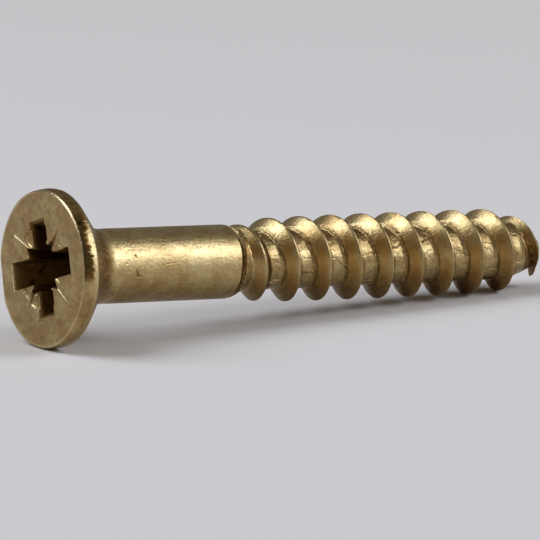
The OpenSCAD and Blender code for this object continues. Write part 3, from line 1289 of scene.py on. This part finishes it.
    def root_relief(self, t: np.ndarray, s: np.ndarray
                    ) -> tuple[np.ndarray, np.ndarray, np.ndarray]:
        """The rough bottom between two turns, where the metal was torn as it was rolled.

        Along the root there are short flats, each with its own level and slope; on them
        lies layered noise. A groove runs beside the foot of the next turn's flank, with a
        fold beyond it, both broken here and there. A lip lies on the other side, and cracks
        and pits are where the noise is near 0 or high.

        Args:
            t: Numbers of turns of the crest before each point.
            s: Share of the pitch from that crest to the next one.

        Returns:
            What is added to the radius, how dark it is painted and how torn the metal is.
        """
        lay = self.lay(t, s)
        bottom = band(s, 0.26, 0.33, 0.72, 0.77)
        count = self.flat_count * t + 0.5 * self.grain.at(lay, 0.9)
        within = count - np.floor(count)
        level, slope = self.grain.steps(count), self.grain.steps(count + 77)
        flats = 0.014 * level + 0.075 * (within - 0.5) * slope
        edge = bell(np.minimum(within, 1.0 - within), 0.035)
        rough = self.grain.layered(lay * np.array((0.6, 1.0, 1.0)), 0.2)
        wander = 0.016 * self.grain.at(lay, 0.7) + 0.008 * self.grain.at(lay, 0.18)
        plate = smoothstep(0.695, 0.68, s - wander)
        relief = bottom * (flats + 0.026 * rough - 0.02 * edge - 0.03 * (1.0 - plate))
        broken = smoothstep(-0.5, 0.1, self.grain.at(lay + 31.0, 1.1))
        folded = smoothstep(-0.5, 0.1, self.grain.at(lay + 5.0, 0.7))
        raised = smoothstep(-0.1, 0.4, self.grain.at(lay + 55.0, 0.8))
        groove = 0.75 * bell(s - self.groove_at - wander, 0.012) * broken
        fold = bell(s - self.fold_at - wander, 0.018) * folded
        lip = bell(s - self.lip_at + wander, 0.012) * raised
        crack = bell(self.grain.at(lay + 71.0, 0.9), 0.03) * bottom
        pits = smoothstep(0.35, 0.75, self.grain.at(lay + 91.0, 0.13)) * bottom
        relief += -0.045 * groove + 0.02 * fold * (1.0 + rough) + 0.012 * lip - 0.01 * crack
        relief -= 0.012 * pits
        # Painted shade in the groove, the pits, the cracks and the flats' edges, with darker patches
        # where the noise is low.
        dark = (0.7 * groove + 0.25 * bottom * smoothstep(0.0, 0.6, -rough) + 0.7 * pits
                + 0.3 * (edge + crack) * bottom)
        return relief, np.clip(dark, 0.0, 1.0), np.clip(bottom + 0.7 * fold, 0.0, 1.0)

    def stands(self, t: np.ndarray, z: np.ndarray) -> np.ndarray:
        """How far the skin stands over the core.

        It is the height of the crest before the point or of the one after it, each falling
        in a straight line over its flank's width; the higher of the two stands. The rising
        thread's flanks are as wide as the full ones, and at the point they keep the full
        ones' slope, until the head's side stands almost square at the break.

        Args:
            t: Numbers of turns of the crest before each point.
            z: Heights along the axis.

        Returns:
            The height at each point.
        """
        tops = []
        for turns, angle in ((t, self.point_flank_angle), (t + 1.0, self.head_flank_angle)):
            at_crest = self.core_r(self.crest_z(turns))
            height = np.maximum(self.crest_r(turns) - at_crest, 0.0) * self.share(turns)
            late, broken = smoothstep(*self.slope_turns, turns), smoothstep(*self.square_turns, turns)
            upright = 1.0 - 0.85 * broken * (angle == self.head_flank_angle)
            width = self.depth + late * (height - self.depth)
            width = width * math.tan(math.radians(angle)) * upright
            far = np.abs(z - self.crest_z(turns)) - self.crest_w / 2
            tops.append((1.0 - np.clip(far / np.maximum(width, 0.01), 0.0, 1.0)) * height)
        return np.maximum(tops[0], tops[1])

    def surface(self, t: np.ndarray, s: np.ndarray, z: np.ndarray
                ) -> tuple[np.ndarray, dict[str, np.ndarray]]:
        """Radius of the thread's skin, with its marks.

        The radius is the core's, plus how far the thread stands over it and its relief, or
        the shank's end where that is larger. Painted shade lies behind the first crest, in the roots
        on one side, underneath and beside the last crest, and a painted amber reflection lies on the
        flanks' feet.

        Args:
            t: Numbers of turns of the crest before each point.
            s: Share of the pitch from that crest to the next one.
            z: Heights along the axis.

        Returns:
            The radius of each point, and its marks by name.
        """
        lay, stands = self.lay(t, s), self.stands(t, z)
        relief, grime, torn = self.root_relief(t, s)
        last = smoothstep(8.3, 8.6, t) * smoothstep(0.5, 0.58, s)
        held = smoothstep(-0.5, 0.1, t) * smoothstep(self.ends - 0.1, self.ends - 0.6, z)
        held = held * (1.0 - last)
        low, crest = smoothstep(0.32, 0.12, stands), smoothstep(0.42, 0.6, stands)
        nick = smoothstep(0.25, 0.7, self.grain.at(lay + 13.0, 0.45)) * crest
        flank = 0.006 * self.grain.layered(lay * np.array((0.35, 1.0, 1.0)), 0.5)
        rough = held * (relief * np.maximum(low, 0.4) + flank)
        shank = self.shank.radius(z) - 0.02 * smoothstep(9.0, 9.3, z)
        radius = np.maximum(self.core_r(z) + stands + rough - 0.02 * nick, shank)

        angle = 2 * math.pi * t + math.radians(self.thread_turn)
        # Painted shadow: a black line behind the first crest, where its shadow falls on the root.
        crest_shadow = smoothstep(0.95, 0.75, t) * smoothstep(0.1, 0.16, s) * smoothstep(0.34, 0.27, s)
        # Painted shadow: the roots below the crest are darkened on one side of the screw.
        root_shadow = band(s, 0.24, 0.3, 0.7, 0.76) * smoothstep(0.8, 0.95, facing(angle, self.shade_turn))
        # Painted shade: the thread is darker on its underside, more where it stands out.
        under = smoothstep(-0.4, 0.9, -np.cos(angle)) * (0.3 + 0.4 * smoothstep(0.03, 0.12, stands))
        # Painted reflection: the flanks' feet on one side carry an amber reflection of the brass in
        # itself.
        foot = band(s, 0.7, 0.78, 0.88, 0.98)
        amber = 0.85 * foot * smoothstep(0.45, 0.95, facing(angle, self.reflection_turn))
        grime = np.maximum(np.maximum(grime, 0.55 * root_shadow) * held, 1.8 * crest_shadow)
        # Painted shade: the last flank is darkened.
        grime = np.maximum(grime, 0.9 * last * smoothstep(0.58, 0.66, s))
        marks = {"grime": np.maximum(np.maximum(grime, under), 0.3 * crest),
                 "torn": np.maximum(torn * held * low, 0.6 * crest_shadow),
                 "polish": 0.3 - 0.4 * crest, "amber": amber,
                 "wind_a": lay[..., 0], "wind_b": lay[..., 1]}
        return radius, marks

    def build(self, skin: Skin, turn: np.ndarray, ring: np.ndarray) -> None:
        """Adds the thread and the point.

        The skin is a strip wound like the thread: its rows follow the crest, so the last
        column joins the first one a turn further on. Rows that lie before the shank's last
        ring, or past the ring where the point's end starts, are drawn onto those rings.

        Args:
            skin: The skin to add to.
            turn: Angle of each column about the axis, in radians.
            ring: The shank's last ring.
        """
        shares = self.row_shares()
        rows, cols = len(shares), len(turn)
        lead = ((turn[0] - math.radians(self.thread_turn)) / (2 * math.pi)) % 1.0
        windings = int(self.turns) + 6
        t = (np.arange(-2, windings - 2)[:, None, None] + lead
             + (np.arange(cols) / cols)[None, None, :])
        s = shares[None, :, None]
        z = self.crest_z(t) + s * (self.crest_z(t + 1.0) - self.crest_z(t))
        t, s, z = (a.reshape(-1, cols) for a in np.broadcast_arrays(t, s, z))
        snap = 0.3 * self.pitch / rows
        before, past = z <= self.shank.rings_end + snap, z >= self.cap_from - snap
        free = ~(before | past)
        radius, marks = self.surface(t, s, z)
        points = around(radius, turn, z)
        end_z = np.concatenate((np.linspace(self.cap_from, self.length - 0.12, 5),
                                self.length - np.array((0.08, 0.045, 0.02, 0.006, 0.0))))[:, None]
        end_r = self.core_r(end_z)
        end_r = end_r * (1.0 + 0.02 * self.grain.layered(around(end_r, turn, end_z), 0.3))
        inner = end_r[-1:] * np.array((0.75, 0.45, 0.18))[:, None]
        end_z = np.concatenate((end_z, np.full((len(inner), 1), self.length)))
        tip = skin.add(around(np.concatenate((end_r, inner)), turn, end_z))
        numbers = np.empty(t.shape, np.int64)
        numbers[free] = skin.add(points[free], **{k: v[free] for k, v in marks.items()})
        numbers[before] = np.broadcast_to(ring, t.shape)[before]
        numbers[past] = np.broadcast_to(tip[0], t.shape)[past]
        shifted = np.concatenate((numbers[rows:, :1], np.full((rows, 1), tip[0, 0])))
        wound = np.concatenate((numbers, shifted), axis=1)
        here, there = wound[:-1], wound[1:]
        skin.quads(np.stack((here[:, :-1], here[:, 1:], there[:, 1:], there[:, :-1]), axis=-1))
        skin.knit(tip)
        pole = skin.add(np.array(((0.0, 0.0, self.length),)))
        skin.close(tip[-1], int(pole[0]), ends=True)
        LOG.info("thread: %.2f turns of %d rows, %d columns", self.turns, rows, cols)


# ----------------------------------------------------------------------------------------
# Brass
# ----------------------------------------------------------------------------------------


class Signal:
    """A socket on which arithmetic writes the Math nodes."""

    def __init__(self, tree: bpy.types.NodeTree, socket: bpy.types.NodeSocket) -> None:
        """Holds the node tree and the socket whose value this is."""
        self.tree = tree
        self.socket = socket

    @classmethod
    def number(cls, tree: bpy.types.NodeTree, value: float) -> "Signal":
        """A plain number as a signal.

        Args:
            tree: The node tree.
            value: The number.

        Returns:
            The signal.
        """
        node = tree.nodes.new("ShaderNodeValue")
        node.outputs[0].default_value = value
        return cls(tree, node.outputs[0])

    def math(self, operation: str, *others: "Signal | float", swap: bool = False) -> "Signal":
        """Adds one Math node.

        Args:
            operation: The node's operation.
            others: The values after this one.
            swap: Whether this value comes second.

        Returns:
            The node's result.
        """
        values = [self, *others]
        if swap:
            values = values[::-1]
        node = make_node(self.tree, "ShaderNodeMath", {"operation": operation},
                         dict(enumerate(values)))
        return Signal(self.tree, node.outputs[0])

    def __add__(self, other: "Signal | float") -> "Signal":
        """This plus the other."""
        return self.math("ADD", other)

    __radd__ = __add__

    def __sub__(self, other: "Signal | float") -> "Signal":
        """This minus the other."""
        return self.math("SUBTRACT", other)

    def __rsub__(self, other: float) -> "Signal":
        """The other minus this."""
        return self.math("SUBTRACT", other, swap=True)

    def __mul__(self, other: "Signal | float") -> "Signal":
        """This times the other."""
        return self.math("MULTIPLY", other)

    __rmul__ = __mul__

    def vector(self, operation: str, other: tuple[float, float, float] = (0.0, 0.0, 0.0)
               ) -> "Signal":
        """Adds one Vector Math node.

        Args:
            operation: The node's operation.
            other: The vector after this one.

        Returns:
            The node's result, a number for a length or a dot product.
        """
        node = make_node(self.tree, "ShaderNodeVectorMath", {"operation": operation},
                         {0: self, 1: other})
        plain = operation in ("DOT_PRODUCT", "LENGTH")
        return Signal(self.tree, node.outputs["Value" if plain else "Vector"])

    def clamped(self) -> "Signal":
        """This held between 0 and 1."""
        return self.math("MINIMUM", 1.0).math("MAXIMUM", 0.0)

    def rise(self, low: float, high: float) -> "Signal":
        """A smooth rise from 0 at `low` to 1 at `high`.

        Args:
            low: Where the rise begins.
            high: Where the rise ends.

        Returns:
            The share of the rise.
        """
        node = make_node(self.tree, "ShaderNodeMapRange", {"interpolation_type": "SMOOTHSTEP"},
                         {"Value": self, "From Min": low, "From Max": high})
        return Signal(self.tree, node.outputs["Result"])


def make_node(tree: bpy.types.NodeTree, kind: str, settings: dict | None = None,
              values: dict | None = None) -> bpy.types.Node:
    """Adds a node, makes its settings first, then fills or links its sockets.

    Args:
        tree: The node tree.
        kind: The node's type.
        settings: Its settings by name.
        values: Numbers, colours or signals, by socket name or number.

    Returns:
        The node.
    """
    node = tree.nodes.new(kind)
    for name, value in (settings or {}).items():
        setattr(node, name, value)
    for name, value in (values or {}).items():
        socket = node.inputs[name]
        if isinstance(value, Signal):
            tree.links.new(value.socket, socket)
        else:
            socket.default_value = value
    return node


@dataclass(frozen=True)
class BrassFinish:
    """Bare brass: drawn on the shank, matte on the stamped face, torn at the thread's root.

    Attributes:
        bright: Colour of the clean metal.
        warm: Colour where it has mellowed.
        amber: Colour of the painted amber reflection, at the foot of the thread's flanks and in the
            recess.
        tarnish_and_shade: Colour of the brown tarnish and of brown painted shade in the lows.
        soot_and_shadow: Colour of the black there, for black dirt and black painted shade.
        wear_and_highlight: Colour of edges that are worn bright, and of painted highlights on burrs
            and polished edges.
        drawn: Roughness of the shank.
        stamped: Roughness of the head's face.
        ragged: Roughness of torn metal.
        film: Weight of the thin film of oil on it.
        film_rough: Roughness of that film.
        relief: Height of the grain, in millimetres.
    """

    bright: tuple[float, float, float] = (0.56, 0.425, 0.19)
    warm: tuple[float, float, float] = (0.4, 0.26, 0.095)
    amber: tuple[float, float, float] = (0.42, 0.22, 0.045)
    tarnish_and_shade: tuple[float, float, float] = (0.19, 0.1, 0.026)
    soot_and_shadow: tuple[float, float, float] = (0.022, 0.015, 0.005)
    wear_and_highlight: tuple[float, float, float] = (0.94, 0.78, 0.46)
    drawn: float = 0.35
    stamped: float = 0.42
    ragged: float = 0.36
    film: float = 0.25
    film_rough: float = 0.32
    relief: float = 0.008

    def attribute(self, tree: bpy.types.NodeTree, name: str) -> Signal:
        """One of the skin's marks as a signal."""
        node = make_node(tree, "ShaderNodeAttribute", {"attribute_name": name})
        return Signal(tree, node.outputs["Fac"])

    def noise(self, tree: bpy.types.NodeTree, place: Signal, scale: float, detail: float = 3.0,
              stretch: tuple[float, float, float] = (1.0, 1.0, 1.0)) -> Signal:
        """Noise over the skin, in features per millimetre.

        Args:
            tree: The node tree.
            place: The coordinates it is read at.
            scale: Features per millimetre.
            detail: Number of finer layers.
            stretch: Scale on each axis.

        Returns:
            Values of about 0 to 1.
        """
        mapped = make_node(tree, "ShaderNodeVectorMath", {"operation": "MULTIPLY"},
                           {0: place, 1: stretch})
        node = make_node(tree, "ShaderNodeTexNoise", {"noise_dimensions": "3D"},
                         {"Vector": Signal(tree, mapped.outputs[0]), "Scale": scale,
                          "Detail": detail, "Roughness": 0.6})
        return Signal(tree, node.outputs["Fac"])

    def mix(self, tree: bpy.types.NodeTree, share: Signal, low: "Signal | tuple",
            high: "Signal | tuple") -> Signal:
        """Mixes two colours.

        Args:
            tree: The node tree.
            share: Share of the second colour.
            low: The first colour.
            high: The second colour.

        Returns:
            The mixed colour.
        """
        low, high = (c if isinstance(c, Signal) else (*c, 1.0) for c in (low, high))
        node = make_node(tree, "ShaderNodeMix", {"data_type": "RGBA"},
                         {"Factor": share, 6: low, 7: high})
        return Signal(tree, node.outputs[2])

    def drawn_strokes(self, tree: bpy.types.NodeTree, place: Signal,
                      marks: list[tuple[np.ndarray, np.ndarray, Stroke]]
                      ) -> tuple[Signal, Signal, Signal]:
        """Draws the strokes finer than the mesh can.

        Across, a stroke is a V over the distance from its line; along, it fades at both
        ends.

        Args:
            tree: The node tree.
            place: The coordinates on the skin.
            marks: Both ends and the sizes of each stroke.

        Returns:
            The height they add in millimetres, how much painted highlight in the wear colour they
            carry, and how dark they are painted.
        """
        height, wear_and_highlight, grime = (Signal.number(tree, 0.0) for _ in range(3))
        for start, end, cut in marks:
            length = float(np.linalg.norm(end - start))
            way = (end - start) / length
            past = place.vector("SUBTRACT", tuple(start))
            run = past.vector("DOT_PRODUCT", tuple(way / length))
            off = past.vector("CROSS_PRODUCT", tuple(way)).vector("LENGTH")
            half = 1.0 - run * (1.0 - cut.taper)
            across = (half - off * (2.0 / cut.width)).clamped()
            stands = across * run.rise(-0.06, 0.05) * run.rise(1.04, 0.9)
            height = height - stands * cut.depth
            wear_and_highlight = wear_and_highlight + stands * cut.wear_and_highlight if cut.wear_and_highlight else wear_and_highlight
            grime = grime + stands * cut.grime if cut.grime else grime
        return height, wear_and_highlight.clamped(), grime.clamped()

    def material(self, marks: list[tuple[np.ndarray, np.ndarray, Stroke]]
                 ) -> bpy.types.Material:
        """Builds the material.

        Args:
            marks: Both ends and the sizes of each stroke on the skin.

        Returns:
            The brass material.
        """
        material = bpy.data.materials.new("drawn_brass")
        material.use_nodes = True
        tree = material.node_tree
        tree.nodes.clear()
        place_node = make_node(tree, "ShaderNodeAttribute", {"attribute_name": "place"})
        place = Signal(tree, place_node.outputs["Vector"])
        grime, torn = self.attribute(tree, "grime"), self.attribute(tree, "torn")
        polish, face = self.attribute(tree, "polish"), self.attribute(tree, "face")
        wind = make_node(tree, "ShaderNodeCombineXYZ", {}, {
            0: self.attribute(tree, "wind_a") * 0.35, 1: self.attribute(tree, "wind_b")})
        lay = Signal(tree, wind.outputs[0])

        cloud = self.noise(tree, place, 0.9, 4.0)
        blot = self.noise(tree, place, 2.2, 4.0)
        speck = self.noise(tree, place, 7.0, 3.0)
        grain = self.noise(tree, place, 13.0, 2.0)
        fine = self.noise(tree, place, 26.0, 3.0)
        drawn = self.noise(tree, place, 9.0, 2.0, stretch=(1.0, 1.0, 0.12))
        rolled = self.noise(tree, lay, 9.0, 3.0)

        mellow = (cloud * 1.3 + speck * 0.5 + face * 0.14).rise(0.7, 1.2)
        colour = self.mix(tree, mellow, self.bright, self.warm)
        cut, stroke_highlight, darkened = self.drawn_strokes(tree, place, marks)
        # The dark share: the dark mark's dirt and painted shade, the strokes' painted dark, and
        # random stains.
        stain_and_shade = ((grime + darkened) * (0.75 + 0.5 * speck) + speck.rise(0.58, 0.78) * 0.3
                 + fine.rise(0.6, 0.75) * 0.25 + blot.rise(0.5, 0.64) * (0.16 + face * 0.16)
                 ).clamped()
        # Painted amber reflection, patchy by noise.
        amber_reflection = self.attribute(tree, "amber") * (0.5 + 0.5 * cloud.rise(0.3, 0.6))
        colour = self.mix(tree, amber_reflection, colour, self.amber)
        # The dark colour, brown going black past 1, for dirt and painted shade alike.
        dirt_and_shade = self.mix(tree, ((grime - 1.0) + blot.rise(0.46, 0.34) * 0.6).clamped(),
                        self.tarnish_and_shade, self.soot_and_shadow)
        colour = self.mix(tree, stain_and_shade, colour, dirt_and_shade)
        # Painted highlights: the wear colour of the strokes and of the polished edges.
        wear_highlight_share = stroke_highlight * (0.4 + 0.9 * speck) + (polish * 2.0 - 1.0).clamped() * speck * 0.6
        colour = self.mix(tree, wear_highlight_share.clamped(), colour, self.wear_and_highlight)

        rough = (self.drawn + face * (self.stamped - self.drawn) + torn * (self.ragged - self.drawn)
                 - (polish + stroke_highlight) * 0.14 + (cloud - 0.5) * 0.12 + (speck - 0.5) * 0.1
                 + (grain - 0.5) * 0.2 + (drawn - 0.5) * 0.2 + grime * 0.15)

        height = (fine * 0.5 + grain * 0.9 + drawn * 0.7 + speck * (1.0 + torn * 2.6 + face * 0.6)
                  + rolled * 0.5 + cut * 130.0 + stroke_highlight * fine * 2.5)
        bump = make_node(tree, "ShaderNodeBump", {}, {
            "Strength": 1.0, "Distance": self.relief * MM, "Height": height})
        shader = make_node(tree, "ShaderNodeBsdfPrincipled", {}, {
            "Base Color": colour, "Metallic": 1.0, "Roughness": rough.clamped(),
            "Coat Weight": (1.0 - stain_and_shade) * self.film, "Coat Roughness": self.film_rough,
            "Normal": Signal(tree, bump.outputs[0])})
        out = make_node(tree, "ShaderNodeOutputMaterial")
        tree.links.new(shader.outputs[0], out.inputs[0])
        return material


@dataclass
class WoodScrew:
    """The whole screw, one piece of brass."""

    axes: Axes
    head: Head = field(default_factory=Head)
    shank: Shank = field(default_factory=Shank)
    finish: BrassFinish = field(default_factory=BrassFinish)

    def build(self) -> bpy.types.Object:
        """Builds the skin, dresses it and puts it in place of the frame's node.

        Returns:
            The screw's object.
        """
        skin = Skin()
        ring = self.head.build(skin)
        turn = self.head.columns(self.head.cols // 2)
        rings = self.shank.build(skin, turn)
        skin.knit(np.stack((ring, rings[0])))
        Thread(self.shank).build(skin, turn, rings[-1])
        piece = skin.build("brass_screw", self.axes)
        marks = self.head.marks() + self.shank.marks()
        piece.data.materials.append(self.finish.material(marks))
        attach(piece, "root")
        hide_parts("wood_screw")
        return piece


# ----------------------------------------------------------------------------------------
# Floor, light and camera
# ----------------------------------------------------------------------------------------


@dataclass(frozen=True)
class Floor:
    """A plain pale floor under the screw.

    Attributes:
        size: Length of its sides, in metres.
        colour: Its colour.
        rough: Its roughness.
    """

    size: float = 3.0
    colour: tuple[float, float, float] = (0.74, 0.69, 0.62)
    rough: float = 0.9

    def build(self) -> bpy.types.Object:
        """Makes the floor at height 0.

        Returns:
            The floor's object.
        """
        half = self.size / 2
        corners = [(-half, -half, 0.0), (half, -half, 0.0), (half, half, 0.0), (-half, half, 0.0)]
        mesh = bpy.data.meshes.new("floor")
        mesh.from_pydata(corners, [], [(0, 1, 2, 3)])
        floor = bpy.data.objects.new("floor", mesh)
        bpy.context.scene.collection.objects.link(floor)
        material = bpy.data.materials.new("pale_floor")
        material.use_nodes = True
        shader = material.node_tree.nodes["Principled BSDF"]
        shader.inputs["Base Color"].default_value = (*self.colour, 1.0)
        shader.inputs["Roughness"].default_value = self.rough
        shader.inputs["Specular IOR Level"].default_value = 0.0
        mesh.materials.append(material)
        return floor


@dataclass(frozen=True)
class Softbox:
    """A rectangular soft lamp that faces the screw.

    Attributes:
        name: Its name.
        azimuth: Its direction in plan, in degrees from X towards Y.
        elevation: Its angle above the floor, in degrees.
        width: Its width, in metres.
        height: Its height, in metres.
        power: Its power, in watts.
        distance: Its distance, in metres.
        colour: Its colour.
    """

    name: str
    azimuth: float
    elevation: float
    width: float
    height: float
    power: float
    distance: float = 0.5
    colour: tuple[float, float, float] = (0.9, 1.0, 1.22)

    def build(self, target: Vector) -> bpy.types.Object:
        """Places the lamp round the target and turns it to face it.

        Args:
            target: The point that it faces.

        Returns:
            The lamp's object.
        """
        az, el = math.radians(self.azimuth), math.radians(self.elevation)
        away = Vector((math.cos(az) * math.cos(el), math.sin(az) * math.cos(el), math.sin(el)))
        data = bpy.data.lights.new(self.name, "AREA")
        data.shape = "RECTANGLE"
        data.size, data.size_y = self.width, self.height
        data.energy = self.power
        data.color = self.colour
        lamp = bpy.data.objects.new(self.name, data)
        lamp.location = target + away * self.distance
        lamp.rotation_mode = "QUATERNION"
        lamp.rotation_quaternion = away.to_track_quat("Z", "Y")
        bpy.context.scene.collection.objects.link(lamp)
        return lamp


@dataclass(frozen=True)
class Studio:
    """The soft studio light and the camera.

    Attributes:
        boxes: The soft lamps.
        target_h: Height of the point that they face, in metres.
        surround: Colour of the dim room.
        azimuth: The camera's direction of sight in plan, in degrees from Y towards X.
        elevation: The camera's angle above the floor, in degrees.
        lens: The camera's focal length, in millimetres.
        sensor: Width of its sensor, in millimetres.
        reach: Distance of the head's face from the camera, along its line of sight, in mm.
        right: Place of the head's face to the right of the view's middle, in mm.
        down: Place of the head's face below the view's middle, in mm.
    """

    boxes: tuple[Softbox, ...] = (
        Softbox("key_box", azimuth=-44.0, elevation=33.5, width=0.3, height=0.25, power=1.16),
        Softbox("fill_box", azimuth=-44.0, elevation=10.0, width=0.3, height=0.16, power=0.22),
        Softbox("top_box", azimuth=152.0, elevation=50.0, width=0.36, height=0.34, power=1.6),
    )
    target_h: float = 0.003
    surround: tuple[float, float, float] = (0.19, 0.177, 0.163)
    azimuth: float = 33.7
    elevation: float = 10.7
    lens: float = 400.0
    sensor: float = 36.0
    reach: float = 243.28
    right: float = -9.258
    down: float = -0.0556

    def build(self, face: np.ndarray) -> bpy.types.Object:
        """Sets the lamps, the room and the camera.

        Args:
            face: The middle of the head's face, in metres.

        Returns:
            The camera's object.
        """
        scene = bpy.context.scene
        for box in self.boxes:
            box.build(Vector((0.0, 0.0, self.target_h)))
        world = bpy.data.worlds.new("room")
        world.use_nodes = True
        world.node_tree.nodes["Background"].inputs["Color"].default_value = (*self.surround, 1.0)
        scene.world = world
        scene.view_settings.view_transform = "Standard"
        return self.set_camera(face)

    def set_camera(self, face: np.ndarray) -> bpy.types.Object:
        """Sets the camera from where the head's face lies in its view.

        Args:
            face: The middle of the head's face, in metres.

        Returns:
            The camera's object.
        """
        az, el = math.radians(self.azimuth), math.radians(self.elevation)
        ahead = Vector((math.sin(az) * math.cos(el), math.cos(az) * math.cos(el), -math.sin(el)))
        right = ahead.cross(Vector((0.0, 0.0, 1.0))).normalized()
        down = ahead.cross(right)
        offset = right * self.right + down * self.down + ahead * self.reach
        data = bpy.data.cameras.new("camera")
        data.lens, data.sensor_width = self.lens, self.sensor
        data.clip_start, data.clip_end = 0.01, 10.0
        camera = bpy.data.objects.new("camera", data)
        camera.location = Vector(face) - offset * MM
        camera.rotation_mode = "QUATERNION"
        camera.rotation_quaternion = (-ahead).to_track_quat("Z", "Y")
        bpy.context.scene.collection.objects.link(camera)
        bpy.context.scene.camera = camera
        return camera


def main() -> None:
    """Builds the screw, the floor, the light and the camera, in that order."""
    logging.basicConfig(level=logging.INFO, format="%(name)s: %(message)s")
    axes = Axes.from_record(frame["record"])
    screw = WoodScrew(axes).build()
    LOG.info("built %s", screw.name)
    floor = Floor().build()
    LOG.info("built %s", floor.name)
    camera = Studio().build(axes.origin)
    LOG.info("set %s", camera.name)


if __name__ == "__main__":
    main()
